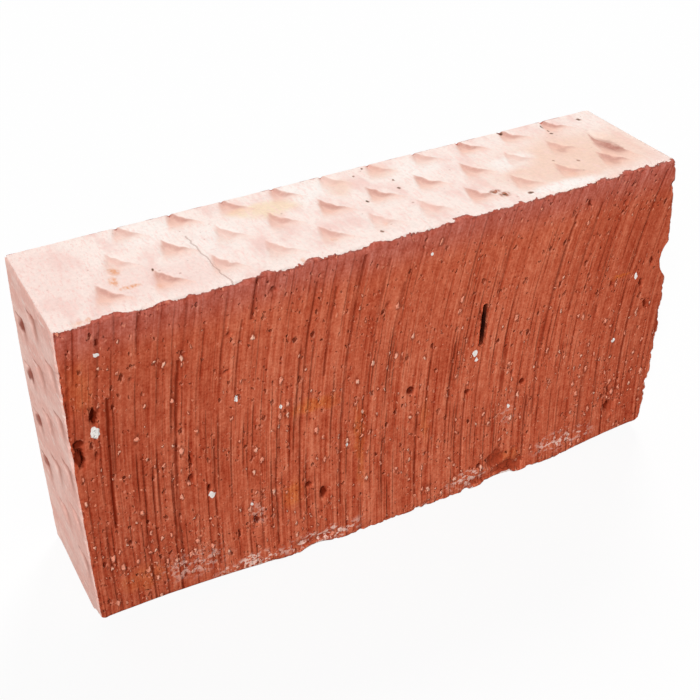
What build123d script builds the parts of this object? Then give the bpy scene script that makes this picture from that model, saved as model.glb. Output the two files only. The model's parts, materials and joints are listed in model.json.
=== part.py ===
from build123d import *
from math import atan, degrees
import os

# Wire-cut clay brick, standing on one long narrow side.
# The clay column left the die along Y, so the two broad beds (front and back) are the wire cuts,
# and the top, underside and ends carry the die skin with the dents of a spiked roller.
# Origin: middle of the underside. X along the length, Y from the front bed to the back bed, Z up.

# Fired size
length = 240.0
thickness = 55.0
height = 123.0

# Where each end is fullest, and how far it falls back from there at the top and at the foot
left_end_fullest = 61.5
left_end_top_fall = 0.8
left_end_foot_fall = 0.5
right_end_fullest = 66.0
right_end_top_fall = 1.2
right_end_foot_fall = 6.0

# Long edges that the die rounds, and arrises that the wire breaks
die_corner_radius = 1.5
arris_break = 0.8

# One roller dent: a wedge with its tip towards the back bed, deepest at the foot of a steep, bowed wall
dent_wall_run = 5.5
dent_wall_reach = 9.0
dent_ramp_side = 3.8
dent_ramp_reach = 12.0
dent_length = 16.0
dent_depth = 1.4
dent_wall_bow = 0.8
dent_wall_inset = 0.9
dent_root_share = 0.3

# The roller's pattern: staggered rows that run across the column
dent_pitch = 19.6
dent_row_pitch = 18.0
dent_row_shift = 8.75
dent_rows = 3
dent_end_margin = 9.0

# Where the pattern starts on the long sides and on the ends, along the face and in from the back bed
side_first_place = 38.5
side_first_row = -2.5
end_first_place = 44.0
end_first_row = 2.2
end_dent_turn = 21.0

# Long gouge where a spike slipped on the top, near the right end
gouge_from_end = 15.8
gouge_from_back = 18.0
gouge_wall_run = 3.6
gouge_wall_reach = 19.0
gouge_ramp_side = 4.4
gouge_ramp_reach = 13.0
gouge_length = 22.5

# Slot that the wire tore open where it dragged a pebble, on the front bed
tear_length = 18.5
tear_width = 2.3
tear_depth = 6.0
tear_from_middle = 34.8
tear_up = 76.5
tear_lean = 5.0

# Flakes off the front arrises: place along the edge, scar length, scar depth
left_edge_flake = (74.5, 11.0, 2.2)
right_edge_flake = (80.5, 17.0, 4.0)
bottom_flakes = ((-35.6, 18.0, 2.1), (44.6, 20.0, 2.1))
bottom_left_wear = (-108.9, 146.0, 3.8)
bottom_right_wear = (120.8, 107.0, 3.1)
top_flakes = ((-74.7, 20.0, 1.9), (-58.0, 10.0, 1.5), (-16.0, 18.0, 1.7), (5.5, 15.0, 1.4))

# Flakes off the front corners: scar length, scar depth
bottom_left_corner = (34.0, 4.6)
bottom_right_corner = (12.0, 4.0)
top_right_corner = (5.0, 1.4)

clearance = 1.0  # how far each cutting shape stands out of the face it cuts


def wedge(wall_run, wall_reach, ramp_side, ramp_reach, reach):
    # Cutter for one dent: tip at the origin, wall towards +X and -Y, ramp on the other side of it.
    wall = Vector(wall_run, -wall_reach)
    inward = Vector(-wall_reach, -wall_run).normalized()
    middle = wall / 2 + inward * dent_wall_bow
    foot = inward * dent_wall_inset - Vector(0, 0, dent_depth)
    root = [wall * dent_root_share + foot, middle + foot, wall * (1 - dent_root_share) + foot]

    def raised(corner, below):
        return corner + (corner - below) * clearance / dent_depth

    tip = raised(Vector(0, 0), root[0])
    bow = raised(middle, root[1])
    end = raised(wall, root[2])
    tail = raised(Vector(0, -reach), root[2])
    side = raised(Vector(-ramp_side, -ramp_reach), root[1])
    rings = [
        [tip, bow, end, tail, side],
        [tip, bow, root[1]],
        [tip, root[1], root[0]],
        [bow, end, root[2]],
        [bow, root[2], root[1]],
        [end, tail, root[2]],
        [tail, side, root[2]],
        [side, root[1], root[2]],
        [side, tip, root[0]],
        [side, root[0], root[1]],
    ]
    return Solid(Shell([Face(Wire.make_polygon(ring)) for ring in rings]))


def dent_places(run, first_place, first_row):
    # Tips of the dents on a face: along the run of the face, and in from the back bed.
    places = []
    for row in range(dent_rows):
        place = first_place - row * dent_row_shift
        while place < run - dent_end_margin:
            places.append((place, thickness / 2 - first_row - row * dent_row_pitch))
            place += dent_pitch
    return places


def end_seat(up, fullest, top_fall, foot_fall):
    # How far an end has fallen back at this height, and how much it tilts there.
    reach, fall = (height - fullest, top_fall) if up > fullest else (fullest, foot_fall)
    share = (up - fullest) / reach
    return fall * share**2, degrees(atan(2 * fall * share / reach))


def flake(place, outward, scar_length, scar_depth):
    # Shell-shaped break: the cap of a ball that leaves a scar of this length and depth.
    radius = (scar_length**2 / 4 + scar_depth**2) / (2 * scar_depth)
    centre = Vector(*place) + Vector(*outward).normalized() * (radius - scar_depth)
    with Locations(centre):
        Sphere(radius, mode=Mode.SUBTRACT)


# One spike of the roller, and the spike that slipped
with BuildPart() as spike:
    add(wedge(dent_wall_run, dent_wall_reach, dent_ramp_side, dent_ramp_reach, dent_length))
with BuildPart() as slip:
    add(wedge(gouge_wall_run, gouge_wall_reach, gouge_ramp_side, gouge_ramp_reach, gouge_length))

# Shape of the ends, and the four die faces, each with X along its run and Y towards the back bed
left_shape = (left_end_fullest, left_end_top_fall, left_end_foot_fall)
right_shape = (right_end_fullest, right_end_top_fall, right_end_foot_fall)
top = Plane((-length / 2, 0, height), x_dir=(1, 0, 0), z_dir=(0, 0, 1))
underside = Plane((length / 2, 0, 0), x_dir=(-1, 0, 0), z_dir=(0, 0, -1))
left_end = Plane((-length / 2, 0, 0), x_dir=(0, 0, 1), z_dir=(-1, 0, 0))
right_end = Plane((length / 2, 0, height), x_dir=(0, 0, -1), z_dir=(1, 0, 0))
front_bed = Plane.XZ.offset(thickness / 2)

with BuildPart() as brick:
    # The column as the die shaped it, cut to the brick's thickness
    with BuildSketch(Plane.XZ) as column:
        with BuildLine():
            upper, lower = [], []
            for side, (fullest, top_fall, foot_fall) in ((-1, left_shape), (1, right_shape)):
                upper.append((side * (length / 2 - top_fall), height))
                lower.append((side * (length / 2 - foot_fall), 0))
                TangentArc((side * length / 2, fullest), upper[-1], tangent=(0, 1))
                TangentArc((side * length / 2, fullest), lower[-1], tangent=(0, -1))
            Line(*upper)
            Line(*lower)
        make_face()
        levels = column.vertices().group_by(Axis.Y)
        fillet(levels[0] + levels[-1], die_corner_radius)
    extrude(amount=thickness / 2, both=True)
    chamfer(brick.faces().filter_by(Axis.Y).edges(), length=arris_break)

    # Roller dents on the long sides and the ends
    for face in (top, underside):
        with Locations(face):
            with Locations(*dent_places(length, side_first_place, side_first_row)):
                add(spike.part, mode=Mode.SUBTRACT)
    left_seats, right_seats = [], []
    for place, across in dent_places(height, end_first_place, end_first_row):
        fall, tilt = end_seat(place, *left_shape)
        left_seats.append(Location((place, across, -fall), (0, tilt, 0)))
        fall, tilt = end_seat(height - place, *right_shape)
        right_seats.append(Location((place, across, -fall), (0, -tilt, 0)))
    for face, seats in ((left_end, left_seats), (right_end, right_seats)):
        with Locations(face):
            with Locations(*seats):
                add(spike.part, rotation=(0, 0, -end_dent_turn), mode=Mode.SUBTRACT)

    # Gouge on the top
    with Locations(top):
        with Locations((length - gouge_from_end, thickness / 2 - gouge_from_back)):
            add(slip.part, mode=Mode.SUBTRACT)

    # Torn slot on the front bed
    with BuildSketch(front_bed.offset(clearance)):
        with Locations((tear_from_middle, tear_up)):
            SlotOverall(tear_length, tear_width, rotation=90 - tear_lean)
    extrude(amount=-clearance - tear_depth, mode=Mode.SUBTRACT)

    # Broken arrises and corners of the front bed
    front = -thickness / 2
    flake((-length / 2, front, left_edge_flake[0]), (-1, -1, 0), *left_edge_flake[1:])
    flake((length / 2, front, right_edge_flake[0]), (1, -0.3, 0), *right_edge_flake[1:])
    for place, *scar in (*bottom_flakes, bottom_left_wear, bottom_right_wear):
        flake((place, front, 0), (0, -1, -1), *scar)
    for place, *scar in top_flakes:
        flake((place, front, height), (0, -1, 1), *scar)
    flake((lower[0][0], front, 0), (-1, -0.3, -1), *bottom_left_corner)
    flake((lower[1][0], front, 0), (1, -1, -1), *bottom_right_corner)
    flake((upper[1][0], front, height), (1, -1, 1), *top_right_corner)

brick.part.label = "brick"

os.makedirs("parts", exist_ok=True)
export_step(brick.part, "parts/brick.step")
print("brick", round(brick.part.volume / 1000, 1), "cm3")
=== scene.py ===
import json
import math

import bpy
from mathutils import Matrix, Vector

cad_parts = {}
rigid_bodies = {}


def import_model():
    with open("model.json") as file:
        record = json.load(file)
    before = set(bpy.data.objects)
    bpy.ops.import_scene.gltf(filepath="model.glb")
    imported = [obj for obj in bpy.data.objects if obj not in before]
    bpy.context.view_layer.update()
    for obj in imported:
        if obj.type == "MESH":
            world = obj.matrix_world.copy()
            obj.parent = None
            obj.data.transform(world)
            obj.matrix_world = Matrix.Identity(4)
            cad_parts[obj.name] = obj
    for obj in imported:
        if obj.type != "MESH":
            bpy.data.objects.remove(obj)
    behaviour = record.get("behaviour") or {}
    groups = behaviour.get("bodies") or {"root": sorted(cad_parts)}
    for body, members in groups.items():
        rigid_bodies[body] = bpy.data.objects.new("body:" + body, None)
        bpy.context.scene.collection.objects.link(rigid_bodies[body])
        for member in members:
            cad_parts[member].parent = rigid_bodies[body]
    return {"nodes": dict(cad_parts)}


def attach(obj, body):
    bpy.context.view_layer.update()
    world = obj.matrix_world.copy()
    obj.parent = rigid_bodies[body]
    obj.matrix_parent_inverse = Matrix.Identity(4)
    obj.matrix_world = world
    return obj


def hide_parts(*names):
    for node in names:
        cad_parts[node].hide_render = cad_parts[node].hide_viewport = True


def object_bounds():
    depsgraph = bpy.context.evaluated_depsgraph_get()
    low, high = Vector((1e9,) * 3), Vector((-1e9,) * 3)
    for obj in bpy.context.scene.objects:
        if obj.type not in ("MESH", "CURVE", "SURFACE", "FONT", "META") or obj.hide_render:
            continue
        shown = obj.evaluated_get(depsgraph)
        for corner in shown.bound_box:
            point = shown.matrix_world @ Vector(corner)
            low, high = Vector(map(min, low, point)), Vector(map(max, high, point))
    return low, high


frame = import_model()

cadLow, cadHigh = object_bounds()
mm = 0.001
print("frame loaded, box", [round(v / mm, 1) for v in (*cadLow, *cadHigh)])

# the brick as it stands, in mm
size = {
    "length": (cadHigh.x - cadLow.x) / mm,
    "thickness": (cadHigh.y - cadLow.y) / mm,
    "height": (cadHigh.z - cadLow.z) / mm,
    # how the ends fall back from their fullest
    "leftEnd": {"fullest": 61.5, "topFall": 0.8, "footFall": 0.5},
    "rightEnd": {"fullest": 66.0, "topFall": 1.2, "footFall": 6.0},
    "cornerBlend": 0.4,  # half the width over which a long side turns into an end
}
grid = {  # the marks below are placed in steps of about 1 mm, from the top left of the front bed
    "left": 1.37,        # mm from the left end to where the steps start
    "across": 0.977,     # mm in a step along the bed
    "down": 1.01,        # mm in a step down the bed
    "tall": 118.0,       # steps from the top to where the wire's path is upright
    "topMiddle": 125.0,  # the step at the middle of the top
    "topShift": 3.1,     # steps by which marks on the top are moved there
    "bedApart": 400.0,   # so that the two beds differ
}


# helpers for wiring nodes, the same for the sculpting tree and the material

def wire(tree, value, socket):
    if isinstance(value, bpy.types.NodeSocket):
        tree.links.new(value, socket)
    else:
        socket.default_value = value


def calc(tree, operation, *values):
    node = tree.nodes.new("ShaderNodeMath")
    node.operation = operation
    for value, socket in zip(values, node.inputs):
        wire(tree, value, socket)
    return node.outputs[0]


def total(tree, *values):
    result = values[0]
    for value in values[1:]:
        result = calc(tree, "ADD", result, value)
    return result


def product(tree, *values):
    result = values[0]
    for value in values[1:]:
        result = calc(tree, "MULTIPLY", result, value)
    return result


def opposite(tree, value):
    return calc(tree, "SUBTRACT", 1.0, value)


def swing(tree, value, amount):
    return product(tree, calc(tree, "SUBTRACT", value, 0.5), amount)


def choose(tree, amount, first, second):
    return total(tree, product(tree, opposite(tree, amount), first), product(tree, amount, second))


def vector(tree, x, y, z):
    node = tree.nodes.new("ShaderNodeCombineXYZ")
    for value, socket in zip((x, y, z), node.inputs):
        wire(tree, value, socket)
    return node.outputs[0]


def split(tree, value):
    node = tree.nodes.new("ShaderNodeSeparateXYZ")
    tree.links.new(value, node.inputs[0])
    return node.outputs


def vectorCalc(tree, operation, *values):
    node = tree.nodes.new("ShaderNodeVectorMath")
    node.operation = operation
    for value, socket in zip(values, node.inputs):
        wire(tree, value, socket)
    return node.outputs["Value" if operation in ("LENGTH", "DISTANCE", "DOT_PRODUCT") else "Vector"]


def noise(tree, place, scale, detail=2.0, roughness=0.5, output="Fac"):
    node = tree.nodes.new("ShaderNodeTexNoise")
    wire(tree, place, node.inputs["Vector"])
    node.inputs["Scale"].default_value = scale
    node.inputs["Detail"].default_value = detail
    node.inputs["Roughness"].default_value = roughness
    return node.outputs[output]


def pattern(tree, places, stretch, detail=2.0, roughness=0.5):
    # noise with its own scale each way
    return noise(tree, vectorCalc(tree, "MULTIPLY", places["point"], stretch), 1.0, detail, roughness)


def chanceAt(tree, x, y):
    node = tree.nodes.new("ShaderNodeTexWhiteNoise")
    node.noise_dimensions = "2D"
    tree.links.new(vector(tree, x, y, 0.0), node.inputs["Vector"])
    return node.outputs


def step(tree, value, low, high, start=0.0, end=1.0):
    node = tree.nodes.new("ShaderNodeMapRange")
    node.interpolation_type = "SMOOTHSTEP"
    for given, socket in zip((value, low, high, start, end), node.inputs):
        wire(tree, given, socket)
    return node.outputs[0]


def warp(tree, place, scale, amount):
    pushed = vectorCalc(tree, "SUBTRACT", noise(tree, place, scale, 1.0, 0.5, "Color"), (0.5,) * 3)
    return vectorCalc(tree, "MULTIPLY_ADD", pushed, (amount,) * 3, place)


# where a point of the brick lies

dragCurve = {
    "base": 8.0, "gain": 0.066, "power": 2.5,  # how far the wire's path leans over at the top
    "sway": 1.1, "swayAcross": 0.2, "swayAlong": 0.05, "swaySeed": 7.0,
}


def endFall(tree, z, end):
    above = calc(tree, "MAXIMUM", calc(tree, "SUBTRACT", z, end["fullest"]), 0.0)
    below = calc(tree, "MAXIMUM", calc(tree, "SUBTRACT", end["fullest"], z), 0.0)
    above = calc(tree, "DIVIDE", above, size["height"] - end["fullest"])
    below = calc(tree, "DIVIDE", below, end["fullest"])
    topFall = product(tree, above, above, end["topFall"])
    return total(tree, topFall, product(tree, below, below, end["footFall"]))


def findPlaces(tree, position):
    point = vectorCalc(tree, "MULTIPLY", position, (1 / mm,) * 3)
    x, y, z = split(tree, point)
    places = {"point": point}
    fromLeft = calc(tree, "ADD", x, size["length"] / 2)
    places["x"] = calc(tree, "DIVIDE", calc(tree, "SUBTRACT", fromLeft, grid["left"]), grid["across"])
    offMiddle = calc(tree, "MULTIPLY_ADD", places["x"], 1 / grid["topMiddle"], -1.0)
    shift = product(tree, opposite(tree, product(tree, offMiddle, offMiddle)), grid["topShift"])
    places["topX"] = calc(tree, "SUBTRACT", places["x"], shift)
    places["y"] = calc(tree, "SUBTRACT", size["thickness"] / 2, y)
    topDepth = calc(tree, "SUBTRACT", size["height"], z)
    places["down"] = calc(tree, "DIVIDE", topDepth, grid["down"])
    up = calc(tree, "MAXIMUM", opposite(tree, calc(tree, "DIVIDE", places["down"], grid["tall"])), 0.0)
    lean = calc(tree, "POWER", up, dragCurve["power"])
    straight = calc(tree, "MULTIPLY_ADD", lean, -dragCurve["base"], places["x"])
    spread = calc(tree, "MULTIPLY_ADD", lean, dragCurve["gain"], 1.0)
    places["drag"] = calc(tree, "DIVIDE", straight, spread)

    # depths under the cut beds and under the die skin
    places["bedDepth"] = calc(tree, "SUBTRACT", size["thickness"] / 2, calc(tree, "ABSOLUTE", y))
    fromRight = calc(tree, "SUBTRACT", size["length"], fromLeft)
    leftDepth = calc(tree, "SUBTRACT", fromLeft, endFall(tree, z, size["leftEnd"]))
    rightDepth = calc(tree, "SUBTRACT", fromRight, endFall(tree, z, size["rightEnd"]))
    endDepth = calc(tree, "MINIMUM", leftDepth, rightDepth)
    sideDepth = calc(tree, "MINIMUM", z, topDepth)
    places["skinDepth"] = calc(tree, "MAXIMUM", calc(tree, "MINIMUM", sideDepth, endDepth), 0.0)
    places["fromCorner"] = calc(tree, "MAXIMUM", sideDepth, endDepth)
    toEnd = calc(tree, "SUBTRACT", sideDepth, endDepth)
    places["onEnd"] = step(tree, toEnd, -size["cornerBlend"], size["cornerBlend"])
    places["onTop"] = calc(tree, "GREATER_THAN", z, size["height"] / 2)
    places["onLeft"] = calc(tree, "LESS_THAN", x, 0.0)

    # the way that the roller ran along each face
    alongSide = choose(tree, places["onTop"], fromRight, fromLeft)
    alongEnd = choose(tree, places["onLeft"], topDepth, z)
    places["along"] = choose(tree, places["onEnd"], alongSide, alongEnd)
    places["front"] = calc(tree, "LESS_THAN", y, 0.0)
    places["side"] = calc(tree, "MULTIPLY", places["front"], grid["bedApart"])
    return places


# the cutting wire's strong scratches, and the hollows and stones that it left on the front bed

scratches = [  # x at the foot of the line, down from, down to, half width, strength
    (9.3, 28, 80, 0.5, 1.0), (6.0, 4, 34, 0.4, 0.6), (32.0, 22, 112, 0.5, 0.9),
    (18.6, 2, 15, 0.45, 0.8), (56.6, -2, 15, 0.55, 0.9), (53.0, 14, 43, 0.35, 0.7),
    (23.4, 60, 97, 0.35, 0.8), (45.7, 57, 112, 0.4, 0.8), (20.2, 78, 112, 0.4, 0.8),
    (69.0, 74, 113, 0.35, 0.8), (78.4, 8, 105, 0.4, 0.7), (86.3, 12, 46, 0.4, 0.7),
    (95.0, 3, 105, 0.45, 0.75), (105.0, 7, 60, 0.35, 0.5), (113.0, 18, 62, 0.35, 0.5),
    (127.5, 76, 114, 0.45, 0.9), (181.5, 11, 95, 0.4, 0.7), (192.0, 9, 52, 0.4, 0.7),
    (218.0, 3, 43, 0.45, 0.7), (224.0, 50, 98, 0.5, 0.8), (206.0, 70, 113, 0.8, 0.5),
    (178.2, 85, 117, 0.4, 0.9), (155.6, 11, 36, 0.45, 0.6), (63.0, 86, 113, 0.4, 0.8),
    (6.0, 78, 112, 0.35, 0.7), (148.5, 70, 112, 0.35, 0.6), (140.5, 50, 100, 0.3, 0.5),
    (165.0, 60, 108, 0.3, 0.5),
]
hollows = [  # x from the left, down from the top, half width, half height, depth
    (8.2, 33.6, 1.5, 4.4, 2.4), (12.8, 7.5, 1.0, 2.6, 1.0), (44.3, 76.8, 1.0, 2.2, 1.2),
    (126.0, 64.6, 2.4, 2.2, 1.7), (88.3, 96.8, 2.0, 4.2, 1.6), (82.5, 90.6, 1.7, 2.0, 1.3),
    (61.0, 98.0, 1.7, 3.2, 1.4), (38.6, 62.0, 1.0, 3.6, 1.3), (38.0, 70.0, 2.0, 2.4, 1.1),
    (151.0, 73.9, 1.9, 1.6, 1.6), (235.0, 60.0, 1.4, 3.0, 1.6), (231.5, 49.8, 1.3, 2.6, 1.5),
    (236.0, 41.5, 1.2, 2.4, 1.6), (221.0, 105.0, 2.4, 3.4, 1.9), (220.4, 97.5, 0.9, 4.2, 1.2),
    (176.5, 77.5, 2.0, 1.8, 1.4), (203.0, 8.2, 1.4, 2.2, 1.4), (216.8, 46.0, 1.1, 1.8, 1.1),
    (7.5, 48.5, 0.9, 2.4, 0.9), (54.5, 32.0, 1.8, 1.1, 0.9), (56.5, 18.0, 1.5, 1.3, 0.9),
    (40.0, 20.0, 1.3, 2.2, 0.8), (21.8, 24.0, 1.0, 1.0, 0.8), (54.0, 102.0, 0.9, 3.2, 1.0),
    (157.5, 111.5, 1.5, 1.8, 1.3), (2.0, 42.5, 2.8, 2.2, 1.6), (1.6, 47.5, 2.4, 6.0, 2.0),
    (73.5, 6.5, 1.8, 1.5, 1.0), (116.5, 25.5, 1.3, 1.5, 0.8), (220.0, 12.0, 1.2, 1.5, 0.9),
    (171.5, 72.0, 0.9, 2.6, 1.0), (210.5, 55.5, 0.8, 3.6, 0.9), (156.9, 45.5, 2.2, 11.0, 1.5),
]
stones = [  # x, down, half width, half height, how far it stands out of its hollow
    (7.8, 39.6, 1.9, 2.8, 1.0), (12.0, 11.6, 1.4, 1.2, 0.7), (45.0, 80.0, 1.8, 2.0, 0.8),
    (57.0, 43.6, 0.8, 1.8, 0.6), (73.2, 52.8, 0.9, 1.5, 0.6), (153.7, 57.2, 1.4, 1.9, 0.9),
    (154.3, 60.2, 1.0, 1.1, 0.6), (228.6, 45.8, 1.0, 2.0, 0.7), (220.4, 72.8, 1.3, 1.1, 0.6),
    (134.3, 10.2, 0.9, 0.9, 0.5), (98.6, 78.6, 0.8, 1.2, 0.5), (59.5, 90.0, 0.7, 1.2, 0.5),
    (170.3, 87.0, 1.2, 1.4, 0.5),
]
slotMark = (157.0, 46.0, 5.0, 14.0, 1.0)  # round the torn slot, whose inside is painted dark as shade
breaks = [  # wide shallow breaks at the foot of the front bed
    (166.0, 111.5, 6.0, 6.0, 2.2), (171.5, 118.0, 10.0, 6.0, 1.8), (157.0, 119.0, 8.0, 4.0, 1.2),
    (84.0, 118.0, 12.0, 3.5, 1.2), (222.0, 106.0, 4.0, 5.0, 1.2),
]
roughZones = [  # where the wire tore more: x, down, half width, half height, how much
    (220.0, 12.0, 24.0, 11.0, 1.0), (156.0, 31.0, 15.0, 10.0, 0.8), (222.0, 98.0, 14.0, 18.0, 0.8),
    (30.0, 102.0, 34.0, 18.0, 1.0), (62.0, 96.0, 12.0, 18.0, 1.0), (72.0, 7.0, 18.0, 9.0, 0.6),
    (112.0, 24.0, 14.0, 12.0, 0.6), (172.0, 88.0, 14.0, 16.0, 0.7),
]
scratchLook = {
    "core": 0.2,            # share of a scratch's width that is at its full strength
    "cutWiden": 1.7,        # how much wider than drawn it is cut, and coloured
    "colourWiden": 1.8,
    "gapNoise": 0.5, "gapAlong": 0.25, "gapSeed": 3.0,
    "gaps": (0.3, 0.5, 0.45, 1.0),  # from, to, and the strengths there, as in every step below
}
spotCore = 0.3  # share of a spot that is at its full strength
wobble = {  # how ragged outlines are: scale and amount
    "hollows": (0.5, 2.0),
    "stones": (0.6, 1.5),
    "breaks": (0.25, 4.0),
}


def dragPlace(tree, places):
    across = product(tree, places["drag"], dragCurve["swayAcross"])
    along = product(tree, places["down"], dragCurve["swayAlong"])
    sway = noise(tree, vector(tree, across, along, dragCurve["swaySeed"]), 1.0)
    return calc(tree, "ADD", swing(tree, sway, dragCurve["sway"]), places["drag"])


def strongLines(tree, places, drag, widen):
    strong = 0.0
    for foot, top, bottom, half, strength in scratches:
        away = calc(tree, "ABSOLUTE", calc(tree, "SUBTRACT", drag, foot))
        across = step(tree, away, half * widen, half * widen * scratchLook["core"], 0.0, strength)
        along = calc(tree, "COMPARE", places["down"], (top + bottom) / 2, (bottom - top) / 2)
        strong = calc(tree, "MULTIPLY_ADD", across, along, strong)
    gapAlong = product(tree, places["down"], scratchLook["gapAlong"])
    gapAt = vector(tree, drag, gapAlong, scratchLook["gapSeed"])
    broken = step(tree, noise(tree, gapAt, scratchLook["gapNoise"]), *scratchLook["gaps"])
    return calc(tree, "MINIMUM", product(tree, strong, broken, places["front"]), 1.0)


def spots(tree, at, rows):
    biggest = 0.0
    for x, down, halfWidth, halfHeight, height in rows:
        shrink = (1 / halfWidth, 1 / halfHeight, 0.0)
        middle = (-x / halfWidth, -down / halfHeight, 0.0)
        away = vectorCalc(tree, "LENGTH", vectorCalc(tree, "MULTIPLY_ADD", at, shrink, middle))
        biggest = calc(tree, "MAXIMUM", step(tree, away, 1.0, spotCore, 0.0, height), biggest)
    return biggest


def frontSpots(tree, places, rows, scale, amount):
    at = warp(tree, vector(tree, places["x"], places["down"], 0.0), scale, amount)
    return product(tree, spots(tree, at, rows), places["front"])


# the brick: the fixed solid, remeshed finely and worked over as the wire, the die and handling left it

brickMesh = {
    "voxel": 0.55 * mm,
    "triangles": 190000,
    "merge": 0.01 * mm,
    "smoothAngle": 50,
    "boxInset": 0.06 * mm,         # how far inside the solid's box the finished surface stays
    "bedFacing": (0.55, 0.9),      # how squarely a face looks to the front or back, from skin to bed
    "softening": 4,                # rounds of blurring on the die skin
    "softFromBed": (1.0, 3.0),     # mm from the beds and the corners to where the blurring is full
    "softFromCorner": (2.0, 4.0),
}
relief = {  # depths in mm; a noise is its scale, detail and roughness
    "bedWave": 0.5,        # slow unevenness of the cut beds
    "waveNoise": ((0.05, 0.05, 0.03), 2.0),
    "bedLumps": 0.55,      # lumps of a few mm
    "lumpNoise": ((0.3, 0.3, 0.16), 3.0, 0.6),
    "smear": (10.0, 100.0, 0.45, 1.0),  # the cut is smeared smoother near the top
    "strongCut": 0.45,     # strong scratches
    "crumbNoise": (0.45, 3.0, 0.6),
    "crumbled": (1.4, 0.3),  # how deep a break is: what varies, and what is everywhere
    "skinWave": 0.35,      # unevenness of the die skin
    "skinNoise": ((0.09, 0.05, 0.09), 3.0),
    "skinFromBed": (0.5, 5.0),
    "arrisBite": 1.9,      # ragged arrises
    "arrisReach": 3.2,     # how far in from the arris
    "biteNoise": (0.19, 4.0, 0.6),
    "bitten": (0.44, 0.72),
    "backBite": 0.12,      # share of that on the sharper back arrises
    "sharpReach": 1.4,     # how near its arris the back edge is filled up sharp
    "sharpFull": 0.65,     # share of that where it is filled up whole
}


def selectOnly(obj):
    bpy.ops.object.select_all(action="DESELECT")
    obj.select_set(True)
    bpy.context.view_layer.objects.active = obj


def applyModifier(obj, modifier):
    selectOnly(obj)
    bpy.ops.object.modifier_apply(modifier=modifier.name)


def copyNode(nodeName, pieceName):
    selectOnly(frame["nodes"][nodeName])
    bpy.ops.object.duplicate()
    piece = bpy.context.active_object
    piece.name = pieceName
    bpy.ops.object.parent_clear(type="CLEAR_KEEP_TRANSFORM")
    for key in list(piece.keys()):
        del piece[key]
    piece.data.materials.clear()
    bpy.ops.object.mode_set(mode="EDIT")
    bpy.ops.mesh.select_all(action="SELECT")
    bpy.ops.mesh.remove_doubles(threshold=brickMesh["merge"])
    bpy.ops.object.mode_set(mode="OBJECT")
    return piece


def moved(tree, geometry, socketName, value):
    node = tree.nodes.new("GeometryNodeSetPosition")
    tree.links.new(geometry, node.inputs["Geometry"])
    tree.links.new(value, node.inputs[socketName])
    return node.outputs[0]


def blurred(tree, value, rounds, weight):
    node = tree.nodes.new("GeometryNodeBlurAttribute")
    node.data_type = "FLOAT_VECTOR"
    given = next(socket for socket in node.inputs if socket.name == "Value" and socket.enabled)
    tree.links.new(value, given)
    node.inputs["Iterations"].default_value = rounds
    tree.links.new(weight, node.inputs["Weight"])
    return next(socket for socket in node.outputs if socket.enabled)


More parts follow.
